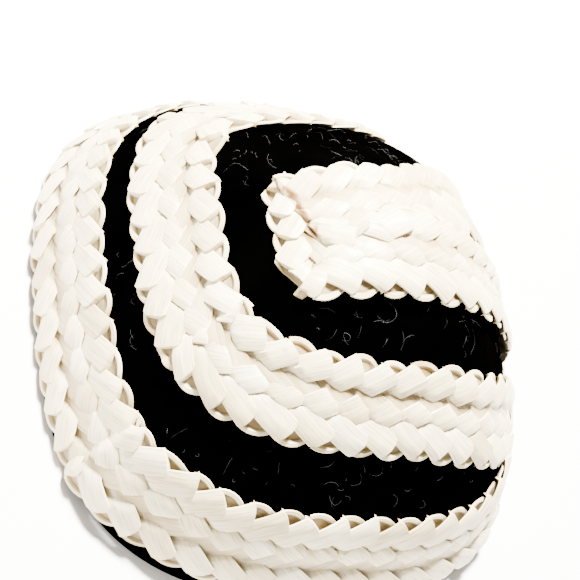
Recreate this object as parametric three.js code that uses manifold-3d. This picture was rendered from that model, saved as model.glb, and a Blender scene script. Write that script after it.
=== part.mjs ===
// A small cap hat: a black velvet crown with bands of flat plaited ivory raffia sewn on it.
// Millimetres, +Z up. The hat stands on its rim at z = 0, with the z axis through the crown.

import * as THREE from 'three';
import { mergeVertices } from 'three/addons/utils/BufferGeometryUtils.js';
import Module from 'manifold-3d';

// Crown sizes
const rimHalfWidth = 92.3;
const rimHalfDepth = 97;
const crownHeight = 91;
const crownWall = 2.5;
// The dome is widest this far below the rim, so the wall still leans in where it is cut off.
const rimRise = 16.5;
// A power of 2 is an ellipse. More is squarer in plan, less is more pointed in side view.
const planPower = 2.86;
const profilePower = 1.6;

// Braid sizes
const braidWidth = 33;
const braidThickness = 3.6;
const edgeThickness = 1.6;
const scallopPitch = 11.6;
const scallopDepth = 2.4;
const seatGap = 0.4;
const tuckGap = 0.5;
// Velvet that shows below the rim braid
const rimReveal = 2;
// The groove between the two runs of the centre braid, its width as a share of the half width
const grooveDepth = 1;
const grooveShare = 0.15;
// How sharply a braid's top rounds off towards its edges
const edgePower = 3;

// Fineness of the faceted surfaces
const crownSides = 60;
const crownRings = 13;
const stationsPerScallop = 3;
const singleSection = 6;
const doubleSection = 11;
const walkStep = 3;
const settleTurns = 3;
const routeSamples = 240;
// Keeps a slope finite at the tip and the widest level
const tiny = 1e-4;

// Where the middle braid runs, seen from above, as shares of the rim's half sizes.
// It comes up from under the rim braid, goes round three sides of the crown and down again.
const middleRoute = [
  { along: 0.953, across: -0.330 },
  { along: 0.770, across: -0.433 },
  { along: 0.480, across: -0.545 },
  { along: 0.100, across: -0.572 },
  { along: -0.270, across: -0.556 },
  { along: -0.525, across: -0.455 },
  { along: -0.645, across: -0.250 },
  { along: -0.668, across: 0.080 },
  { along: -0.640, across: 0.370 },
  { along: -0.510, across: 0.560 },
  { along: -0.280, across: 0.625 },
  { along: 0.130, across: 0.735 },
  { along: 0.400, across: 0.820 },
  { along: 0.620, across: 0.865 },
];

// Where the folded centre braid runs, with its width over both runs as a share of one braid.
const centreRoute = [
  { along: 0.953, across: 0.220, width: 2.12 },
  { along: 0.800, across: 0.175, width: 2.12 },
  { along: 0.620, across: 0.122, width: 2.05 },
  { along: 0.430, across: 0.072, width: 1.92 },
  { along: 0.160, across: 0.000, width: 1.67 },
  { along: -0.050, across: -0.032, width: 1.53 },
  { along: -0.270, across: -0.052, width: 1.42 },
  { along: -0.380, across: -0.052, width: 1.36 },
  { along: -0.440, across: -0.052, width: 1.14 },
];

const wasm = await Module();
wasm.setup();

// The crown's surface is a superellipsoid whose centre lies below the rim.
const domeHeight = crownHeight + rimRise;
const rimShare = (1 - (rimRise / domeHeight) ** profilePower) ** (1 / profilePower);
const outerDome = {
  halfWidth: rimHalfWidth / rimShare,
  halfDepth: rimHalfDepth / rimShare,
  height: domeHeight,
};
const innerDome = {
  halfWidth: outerDome.halfWidth - crownWall,
  halfDepth: outerDome.halfDepth - crownWall,
  height: outerDome.height - crownWall,
};

function planShare(dome, x, y) {
  const alongTerm = (Math.abs(x) / dome.halfWidth) ** planPower;
  const acrossTerm = (Math.abs(y) / dome.halfDepth) ** planPower;
  return (alongTerm + acrossTerm) ** (1 / planPower);
}

function levelShare(dome, z) {
  const rise = (z + rimRise) / dome.height;
  return (1 - rise ** profilePower) ** (1 / profilePower);
}

// Slope of the dome's own measure, which is 1 on the surface
function domeSlope(point) {
  const share = Math.max(planShare(outerDome, point.x, point.y), tiny);
  const rise = Math.max((point.z + rimRise) / outerDome.height, tiny);
  const pull = share ** (profilePower - planPower);
  const xShare = Math.abs(point.x) / outerDome.halfWidth;
  const yShare = Math.abs(point.y) / outerDome.halfDepth;
  return new THREE.Vector3(
    pull * xShare ** (planPower - 1) * Math.sign(point.x) / outerDome.halfWidth,
    pull * yShare ** (planPower - 1) * Math.sign(point.y) / outerDome.halfDepth,
    rise ** (profilePower - 1) / outerDome.height,
  );
}

function domeMeasure(point) {
  const share = planShare(outerDome, point.x, point.y);
  const rise = Math.max((point.z + rimRise) / outerDome.height, 0);
  return (share ** profilePower + rise ** profilePower) ** (1 / profilePower);
}

function domeNormal(point) {
  return domeSlope(point).normalize();
}

// Moves a point that is near the dome onto it.
function settle(point) {
  for (let turn = 0; turn < settleTurns; turn += 1) {
    const measure = domeMeasure(point);
    const slope = domeSlope(point).multiplyScalar(measure ** (1 - profilePower));
    point.addScaledVector(slope, (1 - measure) / slope.lengthSq());
  }
  return point;
}

function onDome(x, y) {
  const share = Math.min(planShare(outerDome, x, y), 1 - tiny);
  const rise = (1 - share ** profilePower) ** (1 / profilePower);
  return new THREE.Vector3(x, y, outerDome.height * rise - rimRise);
}

// Follows the dome from a point for a distance, as a tape laid flat on it would.
function walk(start, direction, distance) {
  const point = start.clone();
  const heading = direction.clone().multiplyScalar(Math.sign(distance) || 1);
  const steps = Math.max(1, Math.ceil(Math.abs(distance) / walkStep));
  for (let step = 0; step < steps; step += 1) {
    heading.projectOnPlane(domeNormal(point)).normalize();
    point.addScaledVector(heading, Math.abs(distance) / steps);
    settle(point);
  }
  return point;
}

// Shares the route out into stations that are a whole number of scallops long in all.
function spacedStations(samples, closed) {
  const line = closed ? [...samples, samples[0]] : samples;
  const travelled = [0];
  for (let i = 1; i < line.length; i += 1) {
    travelled.push(travelled[i - 1] + line[i].point.distanceTo(line[i - 1].point));
  }
  const length = travelled[line.length - 1];
  const gaps = Math.max(1, Math.round(length / scallopPitch)) * stationsPerScallop;
  const stations = [];
  let from = 0;
  for (let k = 0; k < (closed ? gaps : gaps + 1); k += 1) {
    const wanted = length * k / gaps;
    while (from < line.length - 2 && travelled[from + 1] < wanted) from += 1;
    const share = (wanted - travelled[from]) / (travelled[from + 1] - travelled[from]);
    stations.push({
      point: settle(line[from].point.clone().lerp(line[from + 1].point, share)),
      width: THREE.MathUtils.lerp(line[from].width, line[from + 1].width, share),
    });
  }
  stations.forEach((station, k) => {
    const last = stations.length - 1;
    const before = stations[closed && k === 0 ? last : Math.max(k - 1, 0)].point;
    const after = stations[closed && k === last ? 0 : Math.min(k + 1, last)].point;
    station.forward = after.clone().sub(before).normalize();
    station.side = domeNormal(station.point).cross(station.forward).normalize();
  });
  return stations;
}

// A table's route: a smooth curve in plan, laid on the dome.
function tableRoute(table) {
  const curve = new THREE.CatmullRomCurve3(table.map((row) => new THREE.Vector3(
    row.along * rimHalfWidth,
    row.across * rimHalfDepth,
    (row.width ?? 1) * braidWidth,
  )));
  const samples = curve.getPoints(routeSamples).map((p) => ({ point: onDome(p.x, p.y), width: p.z }));
  return spacedStations(samples, false);
}

// The rim braid's route: all round, half a braid's width up the wall from its lower edge.
function rimRoute() {
  const up = new THREE.Vector3(0, 0, 1);
  const samples = [];
  for (let k = 0; k < routeSamples; k += 1) {
    const angle = 2 * Math.PI * k / routeSamples;
    const reach = levelShare(outerDome, 0) / planShare(outerDome, Math.cos(angle), Math.sin(angle));
    const onRim = new THREE.Vector3(reach * Math.cos(angle), reach * Math.sin(angle), 0);
    samples.push({ point: walk(onRim, up, rimReveal + braidWidth / 2), width: braidWidth });
  }
  return spacedStations(samples, true);
}

// How far an edge steps in from its full width at this place along it
function scallopInset(travel) {
  return scallopDepth * (1 - Math.abs(Math.sin(Math.PI * travel)));
}

// A braid is crowned between its edges. The double one has a groove where its runs meet.
function crownedThickness(share) {
  return edgeThickness + (braidThickness - edgeThickness) * (1 - Math.abs(share) ** edgePower);
}

function groovedThickness(share) {
  return crownedThickness(share) - grooveDepth * Math.exp(-((share / grooveShare) ** 2));
}

// A closed solid from rows of points: each row goes across the top and back across the bottom.
function solidFromRows(rows, closed) {
  const rowLength = rows[0].length;
  const positions = rows.flat().flatMap((point) => point.toArray());
  const triangles = [];
  const corner = (row, column) => (row % rows.length) * rowLength + (column % rowLength);
  for (let row = 0; row < (closed ? rows.length : rows.length - 1); row += 1) {
    for (let column = 0; column < rowLength; column += 1) {
      const a = corner(row, column);
      const b = corner(row, column + 1);
      const c = corner(row + 1, column + 1);
      const d = corner(row + 1, column);
      triangles.push(a, b, c, a, c, d);
    }
  }
  if (!closed) {
    for (let column = 0; column < rowLength / 2 - 1; column += 1) {
      const across = rowLength - 1 - column;
      for (const [row, flip] of [[0, true], [rows.length - 1, false]]) {
        const a = corner(row, column);
        const b = corner(row, column + 1);
        const c = corner(row, across - 1);
        const d = corner(row, across);
        triangles.push(...(flip ? [a, c, b, a, d, c] : [a, b, c, a, c, d]));
      }
    }
  }
  const geometry = new THREE.BufferGeometry();
  geometry.setAttribute('position', new THREE.Float32BufferAttribute(positions, 3));
  geometry.setIndex(triangles);
  return geometry;
}

// A band laid on the dome along its stations
function bandGeometry(stations, closed, section, thicknessAt, spare = { edge: 0, below: 0, above: 0 }) {
  const last = stations.length - 1;
  const rows = stations.map((station, k) => {
    const top = [];
    const bottom = [];
    for (let column = 0; column < section; column += 1) {
      const share = 2 * column / (section - 1) - 1;
      const stagger = share > 0 ? 0.5 : 0;
      const inset = scallopInset(k / stationsPerScallop + stagger);
      const half = station.width / 2 + spare.edge - inset;
      let point = walk(station.point, station.side, -share * half);
      if (!closed && k === last) {
        point = walk(point, station.forward, -scallopInset(share * half / scallopPitch));
      }
      const normal = domeNormal(point);
      const low = seatGap - spare.below;
      const high = seatGap + thicknessAt(share) + spare.above;
      top.push(point.clone().addScaledVector(normal, high));
      bottom.unshift(point.clone().addScaledVector(normal, low));
    }
    return [...top, ...bottom];
  });
  return solidFromRows(rows, closed);
}

function toManifold(geometry) {
  const bare = new THREE.BufferGeometry();
  bare.setAttribute('position', geometry.getAttribute('position').clone());
  bare.setIndex(geometry.getIndex());
  const merged = mergeVertices(bare);
  return new wasm.Manifold(new wasm.Mesh({
    numProp: 3,
    vertProperties: new Float32Array(merged.getAttribute('position').array),
    triVerts: new Uint32Array(merged.getIndex().array),
  }));
}

// What is left of a braid outside the space that the rim braid takes
function tuckedUnder(geometry, cutter) {
  const mesh = toManifold(geometry).subtract(toManifold(cutter)).getMesh();
  const cut = new THREE.BufferGeometry();
  cut.setAttribute('position', new THREE.Float32BufferAttribute(mesh.vertProperties, 3));
  cut.setIndex([...mesh.triVerts]);
  return cut;
}

function domeRings(dome) {
  const rings = [];
  const steepest = Math.asin(levelShare(dome, 0) ** (profilePower / 2));
  for (let ring = 1; ring <= crownRings; ring += 1) {
    const lean = steepest * ring / crownRings;
    const share = Math.sin(lean) ** (2 / profilePower);
    const z = dome.height * Math.cos(lean) ** (2 / profilePower) - rimRise;
    const points = [];
    for (let side = 0; side < crownSides; side += 1) {
      const angle = 2 * Math.PI * side / crownSides;
      const reach = share / planShare(dome, Math.cos(angle), Math.sin(angle));
      points.push(new THREE.Vector3(
        reach * Math.cos(angle),
        reach * Math.sin(angle),
        ring === crownRings ? 0 : z,
      ));
    }
    rings.push(points);
  }
  return rings;
}

// The crown is a shell, open below, whose rim is a flat ring at z = 0.
function crownGeometry() {
  const rings = [...domeRings(outerDome), ...domeRings(innerDome).reverse()];
  const positions = rings.flat().flatMap((point) => point.toArray());
  const outerTip = positions.length / 3;
  const innerTip = outerTip + 1;
  positions.push(0, 0, outerDome.height - rimRise);
  positions.push(0, 0, innerDome.height - rimRise);
  const triangles = [];
  const corner = (ring, side) => ring * crownSides + (side % crownSides);
  for (let side = 0; side < crownSides; side += 1) {
    triangles.push(outerTip, corner(0, side), corner(0, side + 1));
    triangles.push(innerTip, corner(rings.length - 1, side + 1), corner(rings.length - 1, side));
    for (let ring = 0; ring < rings.length - 1; ring += 1) {
      const a = corner(ring, side);
      const b = corner(ring + 1, side);
      const c = corner(ring + 1, side + 1);
      const d = corner(ring, side + 1);
      triangles.push(a, b, c, a, c, d);
    }
  }
  const geometry = new THREE.BufferGeometry();
  geometry.setAttribute('position', new THREE.Float32BufferAttribute(positions, 3));
  geometry.setIndex(triangles);
  return geometry;
}

function piece(name, geometry, material) {
  geometry.computeVertexNormals();
  const mesh = new THREE.Mesh(geometry, material);
  mesh.name = name;
  return mesh;
}

function velvet() {
  return new THREE.MeshStandardMaterial({ color: 0x08080a, roughness: 0.95, metalness: 0 });
}

function raffia() {
  return new THREE.MeshStandardMaterial({ color: 0xf0e8d6, roughness: 0.5, metalness: 0 });
}

const rimStations = rimRoute();
const rimBraid = bandGeometry(rimStations, true, singleSection, crownedThickness);
const rimSpace = bandGeometry(rimStations, true, singleSection, crownedThickness, {
  edge: tuckGap,
  below: 2 * braidThickness,
  above: 2 * braidThickness,
});
const middleBraid = bandGeometry(tableRoute(middleRoute), false, singleSection, crownedThickness);
const centreBraid = bandGeometry(tableRoute(centreRoute), false, doubleSection, groovedThickness);

const hat = new THREE.Group();
hat.add(piece('crown', crownGeometry(), velvet()));
hat.add(piece('rim_braid', rimBraid, raffia()));
hat.add(piece('middle_braid', tuckedUnder(middleBraid, rimSpace), raffia()));
hat.add(piece('centre_braid', tuckedUnder(centreBraid, rimSpace), raffia()));

export default hat;
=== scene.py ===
"""A small velvet cap hat with bands of flat plaited ivory raffia, standing on its rim.

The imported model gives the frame: the crown's size and the place of each braid.
Lengths are in millimetres until a mesh is made, which is in metres.
"""

import math

import bmesh
import bpy
import numpy as np
from mathutils import Matrix, Vector


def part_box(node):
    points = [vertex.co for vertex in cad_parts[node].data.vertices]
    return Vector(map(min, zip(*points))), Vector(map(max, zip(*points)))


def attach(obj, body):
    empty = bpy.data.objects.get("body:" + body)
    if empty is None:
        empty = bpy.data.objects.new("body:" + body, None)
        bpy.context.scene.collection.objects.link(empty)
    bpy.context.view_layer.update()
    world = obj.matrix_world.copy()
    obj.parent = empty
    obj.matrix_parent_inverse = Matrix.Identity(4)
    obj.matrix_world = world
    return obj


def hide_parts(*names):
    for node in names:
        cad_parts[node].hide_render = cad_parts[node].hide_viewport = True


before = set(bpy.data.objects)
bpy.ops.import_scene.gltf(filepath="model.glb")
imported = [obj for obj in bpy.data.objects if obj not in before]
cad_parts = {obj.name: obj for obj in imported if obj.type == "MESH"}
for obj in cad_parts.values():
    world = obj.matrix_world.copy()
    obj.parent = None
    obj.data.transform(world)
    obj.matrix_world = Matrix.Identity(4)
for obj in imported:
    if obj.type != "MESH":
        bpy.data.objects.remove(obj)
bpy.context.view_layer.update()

MM = 0.001

# Crown: its size from the frame, and the form of its dome
RIM_HALF_WIDTH, RIM_HALF_DEPTH, CROWN_HEIGHT = [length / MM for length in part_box("crown")[1]]
CROWN_WALL = 2.5
RIM_RISE = 16.5
PLAN_POWER = 2.86
PROFILE_POWER = 1.6
CROWN_SIDES = 180
CROWN_RINGS = 60

# Braid: a flat plait of seven ribbons
BRAID_WIDTH = 33.0
RIM_BRAID_WIDTH = 34.4
NEAR_RUN_WIDTH = 30.0
STRANDS = 7
SCALLOP_PITCH = 11.6
END_RUN_PITCH = 10.0
RIBBON_WIDTH = 8.8
RIBBON_THICKNESS = 0.4
TURN_RADIUS = 4.5
SLANT_LIMITS = (0.1, 1.2)
SLANT_HALVINGS = 40

# How high a ribbon lies over the dome
SEAT_GAP = 0.25
LEAST_RISE = 0.1
OVER_LIFT = 1.5
EDGE_DROOP = 1.0
DROOP_REACH = 6.0
CAMBER = 0.45

# An end that is tucked under the rim braid is pressed flat
TUCK = 3.0
TUCK_REACH = 6.0
TUCKED_SHARE = 0.12

# A cut end rolls down to the braid below it
ROLL_REACH = 3.0

# How a ribbon lies on its way from edge to edge: it turns at 0 and is folded down past 7
# The tiles of the ribbons that go up are wide and low, those of the others narrow and high
WEAVE_LEVELS = [
    # crossings passed going up, share of the lift, crossings going down, share of the lift
    (-0.30, 0.30, -0.30, 0.30),
    (0.30, 0.12, 0.30, 0.12),
    (1.00, 0.00, 1.00, 0.00),
    (1.80, 0.00, 2.20, 0.00),
    (2.15, 0.28, 2.55, 0.82),
    (2.90, 0.56, 3.10, 0.98),
    (3.60, 0.70, 3.60, 0.82),
    (4.05, 0.10, 4.05, 0.10),
    (4.60, 0.10, 5.05, 0.10),
    (4.95, 0.85, 5.40, 1.00),
    (5.60, 1.12, 6.00, 1.24),
    (6.95, 1.65, 6.95, 1.65),
    (6.98, 1.30, 6.98, 1.30),
    (7.01, 0.40, 7.01, 0.40),
]
RING_SPACING = [
    # from, to, number of steps
    (-0.30, 0.40, 7),
    (0.40, 1.10, 5),
    (1.10, 1.70, 2),
    (1.70, 5.40, 23),
    (5.40, 6.95, 6),
    (6.95, 7.01, 2),
]

# The folded end of a ribbon, by the crossings passed
FOLD_START = 6.0
FOLD_REACH = 0.8
FOLD_SKEW = 0.15
FOLD_JITTER = 0.40
FOLD_ROUND = 1.4
FOLD_ROUND_POWER = 4

# The outer strip of a ribbon stands up where it turns
STRIP_LEVEL = 1.35
STRIP_REACH = 1.1
STRIP_SHARE = 0.55
STRIP_SLOPE = 0.2
STRIP_LOW = 0.3

# Depth mark, shade painted into the raffia's colour: sunk ribbons reach a share of it, and past it lie the
# pockets at the edges, painted darkest
DEPTH_SPAN = 1.2
POCKET_START = 0.75
POCKET_FROM = 0.35
POCKET_REACH = 0.75

# Painted shade: the low tiles are painted browner, as the shadow of the petals over them
TILE_PLACE = 2.7
TILE_REACH = 1.3
LOW_TILE_PAINTED_SHADE = 0.30

# Unevenness along a ribbon: wavelength, typical size
SWAY = (9, 0.28)
BOB = (7, 0.10)
ROLL = (11, 0.05)
BREADTH = (14, 0.04)
TONE_DRIFT = (12, 0.5)
CREASE = (30, 0.30)
CREASE_MOST = 0.4
TONE_SPREAD = 0.7

# The fibre pattern is shifted from lap to lap and from strand to strand
LAP_FIBRES = 60
STRAND_FIBRES = 300
STRAND_SHIFT = 20

# Section of a ribbon: a lengthwise crease wanders from side to side
RIBBON_SECTION = [
    # share of half the width, share of the thickness, follows the crease
    (-1.00, 0.20, 0),
    (-0.94, 1.00, 0),
    (-0.70, 1.08, 0),
    (-0.50, 1.10, 0),
    (-0.04, 1.15, 1),
    (0.04, 1.48, 1),
    (0.50, 1.30, 0),
    (0.70, 1.20, 0),
    (0.94, 1.00, 0),
    (1.00, 0.20, 0),
    (0.60, 0.10, 0),
    (0.00, 0.10, 0),
    (-0.60, 0.10, 0),
]
SHARP_FOLD = math.radians(32)
LEAST_RINGS = 4
FAN_ROUNDS = 30

# The rim braid's lower edge over the floor. It lies higher along the near side, between
# bearings in degrees: where that starts, where it is full, and where it fades and ends
RIM_REVEAL = 0.9
NEAR_SIDE_RISE = 3.0
NEAR_SIDE_BEARINGS = (214, 230, 290, 330)
RIM_START_BEARING = 215
RIM_STATIONS = 360

# Routes seen from above, in shares of the rim's half width and half depth
MIDDLE_ROUTE = [
    (0.953, -0.330), (0.770, -0.433), (0.480, -0.545), (0.100, -0.572), (-0.270, -0.556),
    (-0.525, -0.455), (-0.645, -0.250), (-0.668, 0.080), (-0.640, 0.370), (-0.510, 0.560),
    (-0.280, 0.625), (0.130, 0.735), (0.400, 0.820), (0.620, 0.865),
]
CENTRE_ROUTE = [
    # along, across, width in braid widths
    (0.953, 0.220, 2.12),
    (0.800, 0.175, 2.12),
    (0.620, 0.122, 2.05),
    (0.430, 0.072, 1.92),
    (0.160, 0.000, 1.67),
    (-0.050, -0.032, 1.53),
    (-0.270, -0.052, 1.42),
    (-0.480, -0.060, 1.36),
]
END_RUN_ROUTE = [
    (-0.296, 0.420), (-0.290, 0.200), (-0.284, 0.000), (-0.279, -0.200), (-0.275, -0.420),
]

# Lines seen from above along which one length of braid is lapped over the next
NEAR_CORNER_LINE = ((-0.743, -0.380), (-0.509, -0.262))
FAR_CORNER_LINE = ((-0.602, 0.721), (-0.484, 0.424))
RIM_CORNER_LINE = ((-0.778, -0.544), (-0.920, -0.587))
CREASE_LINE = ((-0.402, 0.154), (-0.289, -0.082))
MITRE_LINE = ((-0.374, -0.236), (-0.278, -0.110))
PATCH_END_LINE = ((-0.412, -0.500), (-0.412, 0.500))
END_FAR_LINE = ((-0.450, 0.122), (-0.370, 0.195))
END_NEAR_LINE = ((-0.350, -0.262), (-0.420, -0.175))

# Laps at the middle braid's corners, and of the rim braid's two ends
CORNER_REACH = 24.0
OVERRUN = 10.0
LAP_LIFT = 1.2
LAP_RAMP_BEFORE = 22
LAP_RAMP = 16
RIM_OVERRUN = 8.0
RIM_LAP_LIFT = 2.0
RIM_LAP_RAMP = 18
RIM_CUT_PAST = 20
RIM_CUT_WITHIN = 40

# Where a run of the centre braid climbs onto the braid below it: lift, travel, reach
FAR_RUN_CLIMB = (1.5, 120, 20)
NEAR_RUN_CLIMB = (1.8, 20, 30)

# Painted shadow: golden-brown lines darkened along the crease of the folded patch, under its raised folded
# edge, seen from above in millimetres
PAINTED_CREASE_SHADOWS = [
    # from x, y, to x, y, reach, strength
    (-38.0, 13.6, -33.4, 10.0, 1.0, 0.8),
    (-33.4, 10.0, -28.6, -7.0, 1.4, 1.0),
    (-25.2, -5.9, -24.6, -6.5, 2.6, 0.5),
]

# What each point of a ribbon remembers for its material and its cuts. The depth mark and the crease's mark
# paint shade and shadow into the colour
MARKS = ("along", "across", "tone", "depth", "crease_shadow", "travel")

# Lint: loose fibres that lie on the bare velvet and curl away from it
LINT_COUNT = 170
LINT_TRIES = 3000
LINT_RADIUS = 0.025
LINT_SIDES = 3
LINT_POINTS = 9
LINT_SHORTEST = 1.2
LINT_SPREAD = 2.6
LINT_LONGEST = 14.0
LINT_CURL = 1.6
LINT_STRAIGHT = 0.05
LINT_CLEARANCE = 1.0
LINT_LIFT = 0.15
LINT_ARCH = 0.25
LINT_ARCH_SHARES = (0.1, 1.0)
END_RUN_SEEN = 14.0

dome_height = CROWN_HEIGHT + RIM_RISE
rim_share = (1 - (RIM_RISE / dome_height) ** PROFILE_POWER) ** (1 / PROFILE_POWER)
OUTER_DOME = (RIM_HALF_WIDTH / rim_share, RIM_HALF_DEPTH / rim_share, dome_height)
INNER_DOME = tuple(size - CROWN_WALL for size in OUTER_DOME)


def unit(vectors):
    return vectors / np.maximum(np.linalg.norm(vectors, axis=-1, keepdims=True), 1e-9)


def smooth(share):
    share = np.clip(share, 0, 1)
    return share * share * (3 - 2 * share)


def plan_share(dome, x, y):
    total = (np.abs(x) / dome[0]) ** PLAN_POWER + (np.abs(y) / dome[1]) ** PLAN_POWER
    return total ** (1 / PLAN_POWER)


def level_share(dome, z):
    return (1 - ((z + RIM_RISE) / dome[2]) ** PROFILE_POWER) ** (1 / PROFILE_POWER)


def dome_level(dome, share):
    """Height of a dome at a share of its plan."""
    return dome[2] * (1 - share ** PROFILE_POWER) ** (1 / PROFILE_POWER) - RIM_RISE


def dome_slope(points):
    """Gradient of the outer dome's measure, up to a factor."""
    x, y, z = points[..., 0], points[..., 1], points[..., 2]
    share = np.maximum(plan_share(OUTER_DOME, x, y), 1e-4)
    rise = np.maximum((z + RIM_RISE) / OUTER_DOME[2], 1e-4)
    pull = share ** (PROFILE_POWER - PLAN_POWER)
    return np.stack([
        pull * (np.abs(x) / OUTER_DOME[0]) ** (PLAN_POWER - 1) * np.sign(x) / OUTER_DOME[0],
        pull * (np.abs(y) / OUTER_DOME[1]) ** (PLAN_POWER - 1) * np.sign(y) / OUTER_DOME[1],
        rise ** (PROFILE_POWER - 1) / OUTER_DOME[2],
    ], axis=-1)


def dome_normal(points):
    return unit(dome_slope(points))


def settle(points, turns=2):
    """Moves points that are near the outer dome onto it."""
    for _ in range(turns):
        share = plan_share(OUTER_DOME, points[..., 0], points[..., 1])
        rise = np.maximum((points[..., 2] + RIM_RISE) / OUTER_DOME[2], 0)
        measure = (share ** PROFILE_POWER + rise ** PROFILE_POWER) ** (1 / PROFILE_POWER)
        slope = dome_slope(points) * (measure ** (1 - PROFILE_POWER))[..., None]
        points = points + slope * ((1 - measure) / (slope ** 2).sum(-1))[..., None]
    return points


def on_dome(x, y):
    share = np.minimum(plan_share(OUTER_DOME, x, y), 0.9999)
    return np.stack([x, y, dome_level(OUTER_DOME, share)], axis=-1)


def walk(points, headings, distances, step=2.5):
    """Follows the dome from each point along its heading, as a tape laid flat on it would."""
    steps = max(1, int(math.ceil(np.abs(distances).max() / step)))
    headings = headings * np.sign(distances)[..., None]
    stride = (np.abs(distances) / steps)[..., None]
    for _ in range(steps):
        normals = dome_normal(points)
        headings = unit(headings - normals * (headings * normals).sum(-1)[..., None])
        points = settle(points + headings * stride)
    return points


def smooth_curve(rows, samples=240):
    """Centripetal Catmull-Rom curve through the rows of a table."""
    rows = np.array(rows, float)
    ends = np.vstack([2 * rows[0] - rows[1], rows, 2 * rows[-1] - rows[-2]])
    spans = len(rows) - 1
    gaps = np.sqrt(np.linalg.norm(np.diff(ends[:, :2], axis=0), axis=1))
    out = []
    for value in np.linspace(0, spans, samples + 1):
        i = min(int(value), spans - 1)
        share = value - i
        p0, p1, p2, p3 = ends[i:i + 4]
        t0, t1, t2 = gaps[i:i + 3]
        m1 = ((p1 - p0) / t0 - (p2 - p0) / (t0 + t1) + (p2 - p1) / t1) * t1
        m2 = ((p2 - p1) / t1 - (p3 - p1) / (t1 + t2) + (p3 - p2) / t2) * t1
        a = 2 * p1 - 2 * p2 + m1 + m2
        b = -3 * p1 + 3 * p2 - 2 * m1 - m2
        out.append(((a * share + b) * share + m1) * share + p1)
    return np.array(out)


class Route:
    """A line on the dome, with its travel, its left side and the angle it has turned through."""

    def __init__(self, points, closed=False, spacing=1.5):
        line = np.vstack([points, points[:1]]) if closed else points
        travelled = np.r_[0, np.cumsum(np.linalg.norm(np.diff(line, axis=0), axis=1))]
        self.length = travelled[-1]
        self.closed = closed
        self.travel = np.linspace(0, self.length, int(self.length / spacing) + 1)
        even = [np.interp(self.travel, travelled, line[:, k]) for k in range(3)]
        self.points = settle(np.stack(even, axis=-1))
        if closed:
            ahead = np.roll(self.points[:-1], -1, axis=0) - np.roll(self.points[:-1], 1, axis=0)
            ahead = np.vstack([ahead, ahead[:1]])
        else:
            ahead = np.gradient(self.points, axis=0)
        normals = dome_normal(self.points)
        forward = unit(ahead - normals * (ahead * normals).sum(-1)[:, None])
        self.side = np.cross(normals, forward)
        bend = (np.gradient(forward, self.travel, axis=0) * self.side).sum(-1)
        turned = 0.5 * (bend[1:] + bend[:-1]) * np.diff(self.travel)
        self.turned = np.r_[0, np.cumsum(turned)]

    def at(self, travel, across):
        """Points on the dome at these travels along the route and distances to its left."""
        if self.closed:
            travel = np.mod(travel, self.length)
        start = [np.interp(travel, self.travel, self.points[:, k]) for k in range(3)]
        side = [np.interp(travel, self.travel, self.side[:, k]) for k in range(3)]
        return walk(settle(np.stack(start, -1)), unit(np.stack(side, -1)), across)

    def nearest(self, plan_point):
        """Travel of the station nearest to a point given in shares of the rim's half sizes."""
        place = np.array(plan_point) * [RIM_HALF_WIDTH, RIM_HALF_DEPTH]
        return self.travel[np.argmin(np.linalg.norm(self.points[:, :2] - place, axis=1))]


def table_route(table):
    rows = smooth_curve([row[:2] for row in table]) * [RIM_HALF_WIDTH, RIM_HALF_DEPTH]
    return Route(on_dome(rows[:, 0], rows[:, 1]))


def run_beside(table, braid_width, left):
    """The middle line of one run of the folded centre braid, flush with the patch's edge."""
    rows = smooth_curve(table)
    plan = rows[:, :2] * [RIM_HALF_WIDTH, RIM_HALF_DEPTH]
    middle_line = on_dome(plan[:, 0], plan[:, 1])
    normals = dome_normal(middle_line)
    ahead = np.gradient(middle_line, axis=0)
    side = unit(np.cross(normals, ahead))
    offset = (rows[:, 2] * BRAID_WIDTH - braid_width) / 2
    return Route(walk(middle_line, side, offset if left else -offset))


def rim_route():
    """The rim braid's middle line, starting at the corner where its ends are lapped."""
    turn = np.linspace(0, 2 * math.pi, RIM_STATIONS, endpoint=False)
    angle = turn + math.radians(RIM_START_BEARING)
    x, y = np.cos(angle), np.sin(angle)
    reach = level_share(OUTER_DOME, 0) / plan_share(OUTER_DOME, x, y)
    on_rim = np.stack([reach * x, reach * y, np.zeros_like(x)], axis=-1)
    up = np.tile([0.0, 0.0, 1.0], (len(angle), 1))
    start, full, fade, end = NEAR_SIDE_BEARINGS
    bearing = np.degrees(angle) % 360
    raised = smooth((bearing - start) / (full - start)) * (1 - smooth((bearing - fade) / (end - fade)))
    height = RIM_REVEAL + RIM_BRAID_WIDTH / 2 + NEAR_SIDE_RISE * raised
    return Route(walk(on_rim, up, height), closed=True)


middle = table_route(MIDDLE_ROUTE)
rim = rim_route()
near_run = run_beside(CENTRE_ROUTE, NEAR_RUN_WIDTH, left=True)
far_run = run_beside(CENTRE_ROUTE, BRAID_WIDTH, left=False)
end_run = table_route(END_RUN_ROUTE)
rim_edge = rim.at(rim.travel, np.full(len(rim.travel), RIM_BRAID_WIDTH / 2))


def rim_top(points):
    """Height of the rim braid's upper edge, at the bearing of each point."""
    bearing = np.arctan2(rim_edge[:, 1], rim_edge[:, 0])
    order = np.argsort(bearing)
    asked = np.arctan2(points[..., 1], points[..., 0])
    return np.interp(asked, bearing[order], rim_edge[order, 2], period=2 * math.pi)


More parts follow.
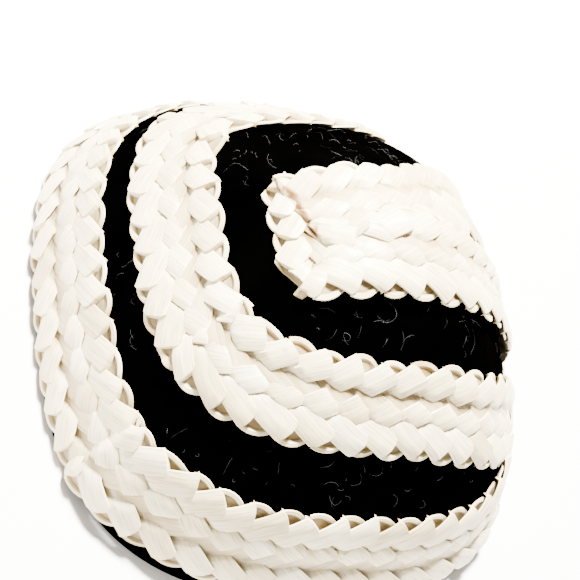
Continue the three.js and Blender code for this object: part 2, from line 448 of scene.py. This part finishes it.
class Zigzag:
    """Middle line of a ribbon that runs from edge to edge of the flat braid."""

    def __init__(self, width, pitch):
        self.reach = (width - RIBBON_WIDTH) / 2
        self.half_period = STRANDS / 2 * pitch
        low, high = SLANT_LIMITS
        for _ in range(SLANT_HALVINGS):
            slant = (low + high) / 2
            run = self.half_period - 2 * TURN_RADIUS * math.sin(slant)
            if 2 * TURN_RADIUS * (1 - math.cos(slant)) + run * math.tan(slant) < 2 * self.reach:
                low = slant
            else:
                high = slant
        self.slant = slant
        self.turn = TURN_RADIUS * slant
        self.crossing = (run / math.cos(slant) + 2 * self.turn) / STRANDS
        self.lean = (math.cos(slant) * self.half_period / (2 * self.reach) - math.sin(slant)) / pitch

    def at(self, lap, along):
        """Place in the flat braid, side vector and lean on a lap that starts in a turn."""
        upward = 1 - 2 * (lap % 2)
        angle = np.clip(along / TURN_RADIUS, -self.slant, self.slant)
        past = np.maximum(along - self.turn, 0)
        u = lap * self.half_period + TURN_RADIUS * np.sin(angle) + past * math.cos(self.slant)
        t = TURN_RADIUS * (1 - np.cos(angle)) + past * math.sin(self.slant) - self.reach
        lean = upward * self.lean * angle / self.slant
        return u, upward * t, -upward * np.sin(angle), np.cos(angle), lean


def ring_places():
    """Crossings passed at each ring of points of a ribbon, from its turn to its fold."""
    places = [np.linspace(a, b, steps, endpoint=False) for a, b, steps in RING_SPACING]
    return np.append(np.concatenate(places), RING_SPACING[-1][1])


RINGS = len(ring_places())


def weave_levels(crossings, going_up):
    """Lift of a ribbon after so many crossings, eased between the rows of the table."""
    at, share = np.array(WEAVE_LEVELS).T[:2] if going_up else np.array(WEAVE_LEVELS).T[2:]
    crossings = np.clip(crossings, at[0], at[-1])
    row = np.clip(np.searchsorted(at, crossings, side="right") - 1, 0, len(at) - 2)
    eased = smooth((crossings - at[row]) / (at[row + 1] - at[row]))
    return share[row] + (share[row + 1] - share[row]) * eased


def wander(random, count, step, wavelength, size):
    """Smooth random values along a ribbon, one for each ring."""
    knots = int(count * step / wavelength) + 3
    places = np.arange(count) * step / wavelength
    i = places.astype(int)
    values = random.normal(0, size, knots)
    return (values[i] + (values[i + 1] - values[i]) * smooth(places - i))[:, None]


def per_lap(random, count, size):
    """A random value for each lap of a ribbon, repeated for its rings."""
    return np.repeat(random.normal(0, size, count // RINGS), RINGS)[:, None]


class Ribbon:
    """A strand of the flat braid: a row for each ring of points, a column for each of its corners."""

    def __init__(self, random, zigzag, laps, crossed, strand, width):
        count = len(laps)
        step = zigzag.crossing * STRANDS / RINGS
        sway = wander(random, count, step, *SWAY)
        bob = wander(random, count, step, *BOB)
        roll = wander(random, count, step, *ROLL)
        breadth = RIBBON_WIDTH / 2 * (1 + wander(random, count, step, *BREADTH))
        self.tone = per_lap(random, count, TONE_SPREAD) + wander(random, count, step, *TONE_DRIFT)
        skew = per_lap(random, count, FOLD_SKEW)
        jitter = per_lap(random, count, FOLD_JITTER)
        crease = np.clip(wander(random, count, step, *CREASE), -CREASE_MOST, CREASE_MOST)

        place, thickness, follows = np.array(RIBBON_SECTION).T
        share = place + follows * crease
        v = share * breadth
        ending = smooth((crossed - FOLD_START) / FOLD_REACH)
        along = crossed * zigzag.crossing + ending * jitter + ending * skew * v
        along -= FOLD_ROUND * ending * np.abs(share) ** FOLD_ROUND_POWER
        u, t, side_u, side_t, lean = zigzag.at(laps, along)
        self.u = u + side_u * (v + sway)
        self.t = t + side_t * (v + sway)
        passed = crossed + lean * v * (1 - ending)
        level, pocket, low_tile = lie_of(passed, crossed, share, 1 - 2 * (laps % 2))

        height = SEAT_GAP + OVER_LIFT * level + bob + roll * v
        height -= EDGE_DROOP * smooth((np.abs(self.t) - width / 2) / DROOP_REACH + 1)
        height = np.maximum(height, SEAT_GAP) + thickness * RIBBON_THICKNESS
        self.height = height + CAMBER * np.clip(level, 0, 1) * (1 - share ** 2)
        # Painted shade: the lower a point lies in the weave, and in the pockets and on the low tiles, the
        # darker and browner its colour
        full = OVER_LIFT * DEPTH_SPAN + RIBBON_THICKNESS
        sunk = np.clip(1 - (self.height - SEAT_GAP) / full, 0, 1)
        self.depth = POCKET_START * sunk + (1 - POCKET_START) * pocket + LOW_TILE_PAINTED_SHADE * low_tile
        self.along = crossed * zigzag.crossing + LAP_FIBRES * laps + STRAND_FIBRES * strand
        self.across = v + STRAND_SHIFT * strand

    def marks(self, rows, place, travel):
        """The marks of some rings that lie at these places, in the order of the table."""
        columns = (self.along, self.across, self.tone, self.depth)
        shape = travel.shape
        known = [np.broadcast_to(column[rows], shape) for column in columns]
        # The painted shadow along the crease
        known += [crease_shadowed(place).reshape(shape), travel]
        return np.stack(known, axis=-1).reshape(-1, len(MARKS))


def lie_of(passed, crossed, share, upward):
    """Level of points in the weave, and how far they are in a pocket or on a low tile, where shade is
    painted.
    """
    strip = STRIP_LEVEL * (1 - smooth(crossed / STRIP_REACH))
    strip = strip * smooth((-share * upward - STRIP_SHARE) / STRIP_SLOPE)
    woven = np.where(upward > 0, weave_levels(passed, True), weave_levels(passed, False))
    pocket = (1 - smooth((crossed - POCKET_FROM) / POCKET_REACH)) * (strip < STRIP_LOW)
    # Painted shade on the low tiles of the ribbons going up
    low_tile = smooth(2 * (1 - np.abs(passed - TILE_PLACE) / TILE_REACH)) * (upward > 0)
    return np.maximum(woven, strip), pocket, low_tile


class Cut:
    """An upright plane through a line seen from above. What lies to the line's right stays."""

    def __init__(self, line, offset=0.0, rolled=0.0, flip=False, between=(-1e6, 1e6)):
        start, end = [np.array(point) * [RIM_HALF_WIDTH, RIM_HALF_DEPTH] for point in line]
        ahead = unit(end - start)
        self.outward = np.array([-ahead[1], ahead[0]]) * (-1 if flip else 1)
        self.start = start + self.outward * offset
        self.rolled = rolled
        self.between = between

    def depth(self, points):
        """Distance of points inside the cut."""
        return (self.start - points[..., :2]) @ self.outward


def crease_shadowed(points):
    """How strongly each point is darkened by the painted shadow along the crease, from 0 to 1."""
    strongest = np.zeros(len(points))
    for *line, reach, strength in PAINTED_CREASE_SHADOWS:
        start, end = np.array(line).reshape(2, 2)
        share = np.clip((points[:, :2] - start) @ (end - start) / ((end - start) ** 2).sum(), 0, 1)
        gap = np.linalg.norm(points[:, :2] - start - share[:, None] * (end - start), axis=1)
        strongest = np.maximum(strongest, strength * (1 - smooth(gap / reach)))
    return strongest


def fanned(route, u, t, calm):
    """Travel of points on the route. Outside the calm stretch a corner doesn't fan the pattern."""
    travel = u.copy()
    if calm:
        for _ in range(FAN_ROUNDS):
            still = np.interp(np.clip(travel, *calm), route.travel, route.turned)
            travel = u + t * (np.interp(travel, route.travel, route.turned) - still)
    return travel


def seated(height, place, travel, lift, cuts, tucked):
    """Height of points over the dome once they are lifted, rolled down at cuts and tucked in."""
    if lift is not None:
        height = height + lift(travel)
    for cut in cuts:
        near = (travel > cut.between[0]) & (travel < cut.between[1])
        height = height - near * cut.rolled * (1 - smooth(cut.depth(place) / ROLL_REACH))
    height = np.maximum(height, LEAST_RISE)
    if tucked:
        free = smooth((place[:, 2] - rim_top(place)) / TUCK_REACH)
        height = height * (TUCKED_SHARE + (1 - TUCKED_SHARE) * free)
    return height


def ribbon_faces(base, rings):
    """Sides and ends of a closed ribbon whose points are numbered from base on."""
    ring = len(RIBBON_SECTION)
    j = np.arange(ring)
    k = (j + 1) % ring
    rows = base + np.arange(rings - 1)[:, None] * ring
    quads = np.stack([rows + j, rows + k, rows + ring + k, rows + ring + j], axis=-1)
    first = [base + i for i in range(ring)]
    last = [base + (rings - 1) * ring + i for i in range(ring)]
    return quads.reshape(-1, 4).tolist() + [first[::-1], last]


def plait(route, width, start=0.0, end=None, calm=None, mirrored=False, lift=None,
          tucked=False, cuts=(), seed=0, pitch=SCALLOP_PITCH):
    """Weaves a length of braid on a route and returns its points, marks, faces and cuts.

    The petals point along the route, or back along it where they are mirrored.
    """
    end = route.length if end is None else end
    random = np.random.default_rng(seed)
    facing = -1 if mirrored else 1
    zigzag = Zigzag(width, pitch)
    margin = width if calm else 0
    reached = sorted((facing * (start - margin), facing * (end + margin)))
    first, last = [int(value // zigzag.half_period) for value in reached]
    laps = np.repeat(np.arange(first - STRANDS, last + 2), RINGS)[:, None]
    crossed = np.tile(ring_places(), len(laps) // RINGS)[:, None]
    points, marks, faces = [], [], []
    for strand in range(STRANDS):
        ribbon = Ribbon(random, zigzag, laps, crossed, strand, width)
        travel = fanned(route, facing * (ribbon.u + strand * pitch), ribbon.t, calm)
        inside = ((travel > start) & (travel < end)).all(axis=1)
        if tucked:
            spine = route.at(travel.mean(axis=1), ribbon.t.mean(axis=1))
            inside &= spine[:, 2] > rim_top(spine) - TUCK
        kept = np.flatnonzero(inside)
        breaks = np.flatnonzero((np.diff(kept) > 1) | (np.diff(laps[kept, 0]) > 0)) + 1
        for rows in np.split(kept, breaks):
            if len(rows) < LEAST_RINGS:
                continue
            along = travel[rows].ravel()
            place = route.at(along, ribbon.t[rows].ravel())
            rise = seated(ribbon.height[rows].ravel(), place, along, lift, cuts, tucked)
            faces += ribbon_faces(sum(len(block) for block in points), len(rows))
            points.append(place + dome_normal(place) * rise[:, None])
            marks.append(ribbon.marks(rows, place, travel[rows]))
    return np.vstack(points), np.vstack(marks), faces, cuts


def trim(part, cuts):
    """Cuts a length of braid and closes the ribbons again."""
    travel = part.verts.layers.float["travel"]
    for cut in cuts:
        low, high = cut.between
        verts = [vert for vert in part.verts if low < vert[travel] < high]
        chosen = set(verts)
        edges = [edge for edge in part.edges if chosen.issuperset(edge.verts)]
        sides = [face for face in part.faces if chosen.issuperset(face.verts)]
        bmesh.ops.bisect_plane(
            part, geom=verts + edges + sides, dist=1e-7,
            plane_co=Vector((cut.start[0] * MM, cut.start[1] * MM, 0)),
            plane_no=Vector((cut.outward[0], cut.outward[1], 0)), clear_outer=True)
        rims = [edge for edge in part.edges if edge.is_boundary]
        bmesh.ops.holes_fill(part, edges=rims, sides=0)


def new_object(name, mesh):
    obj = bpy.data.objects.new(name, mesh)
    bpy.context.collection.objects.link(obj)
    return obj


def woven_object(name, lengths):
    """One object from several lengths of braid, each trimmed by its own cuts."""
    whole = bmesh.new()
    for points, marks, faces, cuts in lengths:
        mesh = bpy.data.meshes.new(name + "_part")
        mesh.from_pydata((points * MM).tolist(), [], faces)
        for index, label in enumerate(MARKS):
            layer = mesh.attributes.new(label, "FLOAT", "POINT")
            layer.data.foreach_set("value", marks[:, index].astype(np.float32))
        part = bmesh.new()
        part.from_mesh(mesh)
        bmesh.ops.recalc_face_normals(part, faces=part.faces)
        trim(part, cuts)
        part.to_mesh(mesh)
        part.free()
        whole.from_mesh(mesh)
        bpy.data.meshes.remove(mesh)
    for face in whole.faces:
        face.smooth = True
    for edge in whole.edges:
        edge.smooth = edge.calc_face_angle(0) < SHARP_FOLD
    mesh = bpy.data.meshes.new(name)
    whole.to_mesh(mesh)
    whole.free()
    return new_object(name, mesh)


def lift_between(low, high, start, reach):
    """A lift that goes from one height to another from a travel on."""
    return lambda travel: low + (high - low) * smooth((travel - start) / reach)


near_corner = middle.nearest(np.mean(NEAR_CORNER_LINE, axis=0))
far_corner = middle.nearest(np.mean(FAR_CORNER_LINE, axis=0))

middle_braid = woven_object("middle_braid_woven", [
    plait(
        middle, BRAID_WIDTH, end=near_corner + OVERRUN, calm=(0, near_corner - CORNER_REACH),
        mirrored=True, tucked=True, seed=21,
        lift=lift_between(0, LAP_LIFT, near_corner - LAP_RAMP_BEFORE, LAP_RAMP),
        cuts=[Cut(NEAR_CORNER_LINE, offset=2.0, rolled=1.6)]),
    plait(
        middle, BRAID_WIDTH, start=near_corner - OVERRUN, end=far_corner + OVERRUN,
        calm=(near_corner + CORNER_REACH, far_corner - CORNER_REACH), mirrored=True, seed=22,
        lift=lift_between(0, LAP_LIFT, far_corner - LAP_RAMP_BEFORE, LAP_RAMP),
        cuts=[
            Cut(NEAR_CORNER_LINE, offset=1.0, flip=True),
            Cut(FAR_CORNER_LINE, offset=2.0, rolled=1.6),
        ]),
    plait(
        middle, BRAID_WIDTH, start=far_corner - OVERRUN, calm=(far_corner + CORNER_REACH, middle.length),
        mirrored=True, tucked=True, seed=23,
        cuts=[Cut(FAR_CORNER_LINE, offset=1.0, flip=True)]),
])

rim_braid = woven_object("rim_braid_woven", [
    plait(
        rim, RIM_BRAID_WIDTH, start=-RIM_OVERRUN, end=rim.length + RIM_OVERRUN, seed=31,
        lift=lift_between(RIM_LAP_LIFT, 0, RIM_OVERRUN, RIM_LAP_RAMP),
        cuts=[
            Cut(
                RIM_CORNER_LINE, offset=2.4, rolled=2.0, flip=True,
                between=(-RIM_CUT_PAST, RIM_CUT_WITHIN)),
            Cut(
                RIM_CORNER_LINE, offset=1.0,
                between=(rim.length - RIM_CUT_WITHIN, rim.length + RIM_CUT_PAST)),
        ]),
])

centre_braid = woven_object("centre_braid_woven", [
    plait(
        end_run, BRAID_WIDTH, pitch=END_RUN_PITCH, seed=41,
        cuts=[
            Cut(CREASE_LINE, offset=4.0),
            Cut(MITRE_LINE, offset=4.0, flip=True),
            Cut(END_FAR_LINE),
            Cut(END_NEAR_LINE),
        ]),
    plait(
        far_run, BRAID_WIDTH, mirrored=True, tucked=True, seed=42,
        lift=lift_between(0, *FAR_RUN_CLIMB),
        cuts=[
            Cut(CREASE_LINE, offset=2.0, rolled=1.6, flip=True),
            Cut(PATCH_END_LINE),
        ]),
    plait(
        near_run, NEAR_RUN_WIDTH, mirrored=True, tucked=True, seed=43,
        lift=lift_between(0, *NEAR_RUN_CLIMB),
        cuts=[
            Cut(MITRE_LINE, rolled=1.6),
            Cut(PATCH_END_LINE),
            Cut(END_NEAR_LINE, offset=2.4, rolled=1.0),
        ]),
])


def closed_object(name, points, faces, shaded_smooth):
    """An object from points in millimetres, with its faces turned outwards."""
    mesh = bpy.data.meshes.new(name)
    mesh.from_pydata((points * MM).tolist(), [], faces)
    body = bmesh.new()
    body.from_mesh(mesh)
    bmesh.ops.recalc_face_normals(body, faces=body.faces)
    for face in body.faces:
        face.smooth = shaded_smooth
    body.to_mesh(mesh)
    body.free()
    return new_object(name, mesh)


def level_loops(dome):
    """Loops of points round a dome, from near its top down to the rim."""
    angle = np.linspace(0, 2 * math.pi, CROWN_SIDES, endpoint=False)
    x, y = np.cos(angle), np.sin(angle)
    reach = 1 / plan_share(dome, x, y)
    loops = []
    for ring in range(1, CROWN_RINGS + 1):
        share = level_share(dome, 0.0) * math.sin(math.pi / 2 * ring / CROWN_RINGS)
        level = np.full(CROWN_SIDES, dome_level(dome, share))
        loops.append(np.stack([share * reach * x, share * reach * y, level], axis=-1))
    return loops


def crown_object():
    """The velvet cap: the plain inside, the flat rim edge and the outer dome."""
    loops = level_loops(INNER_DOME) + level_loops(OUTER_DOME)[::-1]
    tops = [[0, 0, dome[2] - RIM_RISE] for dome in (INNER_DOME, OUTER_DOME)]
    points = np.vstack(loops + tops)
    top_inner, top_outer = len(points) - 2, len(points) - 1
    last = (len(loops) - 1) * CROWN_SIDES
    faces = []
    for base in range(0, last, CROWN_SIDES):
        for j in range(CROWN_SIDES):
            k = (j + 1) % CROWN_SIDES
            faces.append((base + j, base + k, base + CROWN_SIDES + k, base + CROWN_SIDES + j))
    for j in range(CROWN_SIDES):
        k = (j + 1) % CROWN_SIDES
        faces.append((top_inner, k, j))
        faces.append((top_outer, last + j, last + k))
    return closed_object("crown_velvet", points, faces, shaded_smooth=True)


def bare_velvet(points):
    """Which points of the dome no braid lies on."""
    bare = points[:, 2] > rim_top(points) + LINT_CLEARANCE
    seen_end = end_run.points[np.abs(end_run.points[:, 1]) < END_RUN_SEEN]
    for line, width in ((middle.points, BRAID_WIDTH), (near_run.points, NEAR_RUN_WIDTH),
                        (far_run.points, BRAID_WIDTH), (seen_end, BRAID_WIDTH)):
        gaps = np.linalg.norm(points[:, None] - line[None], axis=-1).min(axis=1)
        bare &= gaps > width / 2 + LINT_CLEARANCE
    return bare


def lint_spines(random):
    """The middle lines of the fibres, and the dome's normals where they start."""
    bearing = random.uniform(0, 2 * math.pi, LINT_TRIES)
    share = rim_share * np.sqrt(random.uniform(0, 1, LINT_TRIES))
    x, y = np.cos(bearing), np.sin(bearing)
    reach = share / plan_share(OUTER_DOME, x, y)
    starts = on_dome(reach * x, reach * y)
    starts = starts[bare_velvet(starts)][:LINT_COUNT]
    count = len(starts)
    normals = dome_normal(starts)
    heading = random.normal(0, 1, (count, 3))
    heading = unit(heading - normals * (heading * normals).sum(-1)[:, None])
    side = np.cross(normals, heading)
    length = np.minimum(LINT_SHORTEST + random.exponential(LINT_SPREAD, count), LINT_LONGEST)
    curl = random.normal(0, LINT_CURL, count)
    curled = np.abs(curl) > LINT_STRAIGHT
    arch = random.uniform(*LINT_ARCH_SHARES, count) * LINT_ARCH * length
    spine = []
    for place in np.linspace(0, 1, LINT_POINTS):
        angle = curl * place
        forward = (length * np.where(curled, np.sin(angle) / curl, place))[:, None]
        sideways = (length * np.where(curled, (1 - np.cos(angle)) / curl, 0))[:, None]
        ground = settle(starts + heading * forward + side * sideways)
        rise = LINT_LIFT + arch * math.sin(math.pi * place) ** 2
        spine.append(ground + dome_normal(ground) * rise[:, None])
    return np.stack(spine, axis=1), normals


def lint_object():
    """Each fibre is a thin closed tube along a curl on the dome."""
    spine, normals = lint_spines(np.random.default_rng(71))
    ahead = unit(np.gradient(spine, axis=1))
    across = unit(np.cross(ahead, normals[:, None]))
    above = np.cross(across, ahead)
    corners, faces = [], []
    for corner in range(LINT_SIDES):
        turn = 2 * math.pi * corner / LINT_SIDES
        corners.append(spine + LINT_RADIUS * (across * math.cos(turn) + above * math.sin(turn)))
    for fibre in range(len(spine)):
        base = fibre * LINT_POINTS * LINT_SIDES
        last = base + LINT_SIDES * (LINT_POINTS - 1)
        for row in range(base, last, LINT_SIDES):
            for j in range(LINT_SIDES):
                k = (j + 1) % LINT_SIDES
                faces.append((row + j, row + k, row + LINT_SIDES + k, row + LINT_SIDES + j))
        faces.append([base + j for j in range(LINT_SIDES)][::-1])
        faces.append([last + j for j in range(LINT_SIDES)])
    points = np.stack(corners, axis=2).reshape(-1, 3)
    return closed_object("velvet_lint", points, faces, shaded_smooth=False)


crown = crown_object()
lint = lint_object()

# Raffia: stops of colour along each mark or pattern. White leaves the colour under it as it is
WHITE = (1.0, 1.0, 1.0)
IVORY_TONES = [(0.15, (0.50, 0.40, 0.21)), (0.5, (0.76, 0.66, 0.40)), (0.85, (0.88, 0.84, 0.62))]
FIBRE_LINES = [(0.34, (0.52, 0.43, 0.28)), (0.52, WHITE)]
BROAD_STREAKS = [(0.30, (0.86, 0.76, 0.60)), (0.60, WHITE)]
# Painted shade for sunk ribbons, pockets and low tiles, along the depth mark
PAINTED_SUNK_SHADE = [(0.25, WHITE), (0.64, (0.50, 0.41, 0.26)), (0.95, (0.17, 0.125, 0.07))]
# Painted shadow along the crease
CREASE_SHADOW_COLOURS = [(0.1, WHITE), (0.5, (0.45, 0.29, 0.12)), (0.95, (0.09, 0.05, 0.012))]
FIBRE_GLOSS = [(0.3, (0.52, 0.52, 0.52)), (0.7, (0.36, 0.36, 0.36))]
FIBRE_SCALE = 1.7
FIBRE_STRETCH = 0.06
FIBRE_STRENGTH = 0.7
FIBRE_BUMP = 0.00018
STREAK_SCALE = 0.9
STREAK_STRETCH = 0.03
STREAK_STRENGTH = 0.6
STREAK_PLANE = 7.0
PAINTED_SUNK_SHADE_STRENGTH = 0.9
TONE_GAIN = 0.12
TONE_MIDDLE = 0.5

# Velvet, lint and the floor
VELVET_BLACKS = [(0.3, (0.0, 0.0, 0.0)), (0.7, (0.0002, 0.00018, 0.00016))]
PILE_BROWN = (0.55, 0.36, 0.25, 1)
PILE_SCALE = 2600.0
PILE_BUMP = 0.0003
BRUSHED_SCALE = 45.0
LINT_SCALE = 180.0
PAPER_SCALE = 60.0
LINT_GREYS = [(0.35, (0.004, 0.004, 0.004)), (0.65, (0.04, 0.038, 0.038))]
PAPER_WHITES = [(0.3, (0.86, 0.845, 0.84)), (0.7, (0.88, 0.865, 0.86))]


def new_material(name):
    material = bpy.data.materials.new(name)
    material.use_nodes = True
    tree = material.node_tree
    tree.nodes.clear()
    output = tree.nodes.new("ShaderNodeOutputMaterial")
    shader = tree.nodes.new("ShaderNodeBsdfPrincipled")
    tree.links.new(shader.outputs["BSDF"], output.inputs["Surface"])
    return material, tree, shader


def feed(tree, value, socket):
    """Links a socket to another node's output, or sets its number or colour."""
    if isinstance(value, bpy.types.NodeSocket):
        tree.links.new(value, socket)
    else:
        socket.default_value = value


def noise(tree, vector, scale, detail=3.0, roughness=0.55):
    node = tree.nodes.new("ShaderNodeTexNoise")
    node.inputs["Scale"].default_value = scale
    node.inputs["Detail"].default_value = detail
    node.inputs["Roughness"].default_value = roughness
    tree.links.new(vector, node.inputs["Vector"])
    return node.outputs["Fac"]


def ramp(tree, value, stops):
    node = tree.nodes.new("ShaderNodeValToRGB")
    while len(node.color_ramp.elements) < len(stops):
        node.color_ramp.elements.new(0.5)
    for element, (place, colour) in zip(node.color_ramp.elements, stops):
        element.position = place
        element.color = (*colour, 1)
    tree.links.new(value, node.inputs["Fac"])
    return node.outputs["Color"]


def multiply(tree, factor, first, second):
    """The first colour multiplied by the second, as far as the factor says."""
    node = tree.nodes.new("ShaderNodeMix")
    node.data_type = "RGBA"
    node.blend_type = "MULTIPLY"
    for value, name in ((factor, "Factor"), (first, "A"), (second, "B")):
        feed(tree, value, next(socket for socket in node.inputs if socket.name == name and socket.enabled))
    return next(socket for socket in node.outputs if socket.enabled)


def calculate(tree, operation, *values):
    node = tree.nodes.new("ShaderNodeMath")
    node.operation = operation
    for value, socket in zip(values, node.inputs):
        feed(tree, value, socket)
    return node.outputs["Value"]


def mark(tree, label):
    node = tree.nodes.new("ShaderNodeAttribute")
    node.attribute_name = label
    return node.outputs["Fac"]


def combine(tree, *values):
    node = tree.nodes.new("ShaderNodeCombineXYZ")
    for value, socket in zip(values, node.inputs):
        feed(tree, value, socket)
    return node.outputs["Vector"]


def object_place(tree):
    return tree.nodes.new("ShaderNodeTexCoord").outputs["Object"]


def bump(tree, height, distance, strength):
    node = tree.nodes.new("ShaderNodeBump")
    node.inputs["Distance"].default_value = distance
    node.inputs["Strength"].default_value = strength
    tree.links.new(height, node.inputs["Height"])
    return node.outputs["Normal"]


def raffia_material():
    """Ivory raffia: satin ribbons with fibre lines, with painted shade, warmer and darker, where they dip
    under others, and a painted shadow along the crease.
    """
    material, tree, shader = new_material("raffia_ivory")
    along, across = mark(tree, "along"), mark(tree, "across")
    fibre_place = combine(tree, calculate(tree, "MULTIPLY", along, FIBRE_STRETCH), across, 0.0)
    fibres = noise(tree, fibre_place, FIBRE_SCALE, detail=5.0, roughness=0.65)
    streak_along = calculate(tree, "MULTIPLY", along, STREAK_STRETCH)
    streak_place = combine(tree, streak_along, across, STREAK_PLANE)
    streaks = noise(tree, streak_place, STREAK_SCALE, detail=2.0)
    tone = calculate(tree, "MULTIPLY_ADD", mark(tree, "tone"), TONE_GAIN, TONE_MIDDLE)
    colour = ramp(tree, tone, IVORY_TONES)
    colour = multiply(tree, FIBRE_STRENGTH, colour, ramp(tree, fibres, FIBRE_LINES))
    colour = multiply(tree, STREAK_STRENGTH, colour, ramp(tree, streaks, BROAD_STREAKS))
    # Painted shade from the depth mark
    colour = multiply(tree, PAINTED_SUNK_SHADE_STRENGTH, colour, ramp(tree, mark(tree, "depth"), PAINTED_SUNK_SHADE))
    # Painted shadow along the crease
    colour = multiply(tree, 1.0, colour, ramp(tree, mark(tree, "crease_shadow"), CREASE_SHADOW_COLOURS))
    tree.links.new(colour, shader.inputs["Base Color"])
    tree.links.new(ramp(tree, fibres, FIBRE_GLOSS), shader.inputs["Roughness"])
    shader.inputs["Specular IOR Level"].default_value = 0.45
    shader.inputs["Sheen Weight"].default_value = 0.08
    tree.links.new(bump(tree, fibres, FIBRE_BUMP, 0.7), shader.inputs["Normal"])
    return material


def velvet_material():
    """Black velvet: almost no diffuse light, a brown sheen where the pile is seen edge on."""
    material, tree, shader = new_material("velvet_black")
    place = object_place(tree)
    pile = noise(tree, place, PILE_SCALE, detail=2.0)
    brushed = noise(tree, place, BRUSHED_SCALE)
    tree.links.new(ramp(tree, brushed, VELVET_BLACKS), shader.inputs["Base Color"])
    shader.inputs["Roughness"].default_value = 1.0
    shader.inputs["Specular IOR Level"].default_value = 0.0
    shader.inputs["Sheen Weight"].default_value = 0.0007
    shader.inputs["Sheen Roughness"].default_value = 0.35
    shader.inputs["Sheen Tint"].default_value = PILE_BROWN
    tree.links.new(bump(tree, pile, PILE_BUMP, 0.6), shader.inputs["Normal"])
    return material


def mottled_material(name, scale, stops, roughness):
    """A plain matt surface, lighter and darker in patches."""
    material, tree, shader = new_material(name)
    mottle = ramp(tree, noise(tree, object_place(tree), scale), stops)
    tree.links.new(mottle, shader.inputs["Base Color"])
    shader.inputs["Roughness"].default_value = roughness
    return material


raffia = raffia_material()
for braid in (rim_braid, middle_braid, centre_braid):
    braid.data.materials.append(raffia)
crown.data.materials.append(velvet_material())
lint.data.materials.append(mottled_material("lint_grey", LINT_SCALE, LINT_GREYS, 0.7))

for piece, node, slot in (
        (crown, "crown", "velvet"), (rim_braid, "rim_braid", "raffia"),
        (middle_braid, "middle_braid", "raffia"), (centre_braid, "centre_braid", "raffia")):
    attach(piece, "root")
    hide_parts(node)

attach(lint, "root")

# Camera, as it stood to the hat in the photograph
CAMERA_BEARING = math.radians(-44.74)
CAMERA_HEIGHT_ANGLE = math.radians(47.09)
CAMERA_ROLL = math.radians(43.72)
CAMERA_DISTANCE = 492.71
CAMERA_FOCAL_PIXELS = 1376.91
CAMERA_SLIDE = (6.35, -7.45)
CAMERA_NEAREST = 0.01
PICTURE_WIDTH = 580
SENSOR_WIDTH = 36.0
AIM_HEIGHT = 27.0

# Floor and lights, in metres and watts
FLOOR_HALF = 1.5
LIGHT_AIM = (0, 0, 0.04)
LIGHTS = [
    # name, direction, distance, size, power, colour
    ("key", (0.03, 0.42, 0.90), 1.1, 0.20, 250.0, (1.0, 0.98, 0.95)),
    ("fill", (-0.9, 0.05, 0.45), 1.3, 0.9, 6.0, (1.0, 0.97, 0.96)),
]
ROOM_COLOUR = (1.0, 0.99, 0.985, 1)
ROOM_STRENGTH = 0.65


def add_camera():
    back = Vector((
        math.sin(CAMERA_BEARING) * math.cos(CAMERA_HEIGHT_ANGLE),
        -math.cos(CAMERA_BEARING) * math.cos(CAMERA_HEIGHT_ANGLE),
        math.sin(CAMERA_HEIGHT_ANGLE)))
    level = Vector((math.cos(CAMERA_BEARING), math.sin(CAMERA_BEARING), 0))
    above = back.cross(level)
    right = level * math.cos(CAMERA_ROLL) + above * math.sin(CAMERA_ROLL)
    up = above * math.cos(CAMERA_ROLL) - level * math.sin(CAMERA_ROLL)
    target = Vector((0, 0, AIM_HEIGHT)) - right * CAMERA_SLIDE[0] - up * CAMERA_SLIDE[1]
    camera = bpy.data.cameras.new("camera")
    camera.sensor_width = SENSOR_WIDTH
    camera.lens = CAMERA_FOCAL_PIXELS / PICTURE_WIDTH * SENSOR_WIDTH
    camera.clip_start = CAMERA_NEAREST
    obj = new_object("camera", camera)
    obj.matrix_world = Matrix((right, up, back)).transposed().to_4x4()
    obj.location = (target + back * CAMERA_DISTANCE) * MM
    bpy.context.scene.camera = obj


def add_floor():
    corners = [(x * FLOOR_HALF, y * FLOOR_HALF, 0) for x, y in ((-1, -1), (1, -1), (1, 1), (-1, 1))]
    mesh = bpy.data.meshes.new("floor")
    mesh.from_pydata(corners, [], [(0, 1, 2, 3)])
    mesh.materials.append(mottled_material("paper_white", PAPER_SCALE, PAPER_WHITES, 0.8))
    new_object("floor", mesh)


def add_light(name, direction, distance, size, power, colour):
    """A square area light that looks at the hat from a direction."""
    towards = Vector(direction).normalized()
    lamp = bpy.data.lights.new(name, "AREA")
    lamp.energy = power
    lamp.size = size
    lamp.color = colour
    obj = new_object(name, lamp)
    obj.location = Vector(LIGHT_AIM) + towards * distance
    obj.rotation_euler = towards.to_track_quat("Z", "Y").to_euler()


def add_room_light():
    world = bpy.data.worlds.new("studio")
    world.use_nodes = True
    background = world.node_tree.nodes["Background"]
    background.inputs["Color"].default_value = ROOM_COLOUR
    background.inputs["Strength"].default_value = ROOM_STRENGTH
    bpy.context.scene.world = world


add_camera()
add_floor()
for light in LIGHTS:
    add_light(*light)
add_room_light()
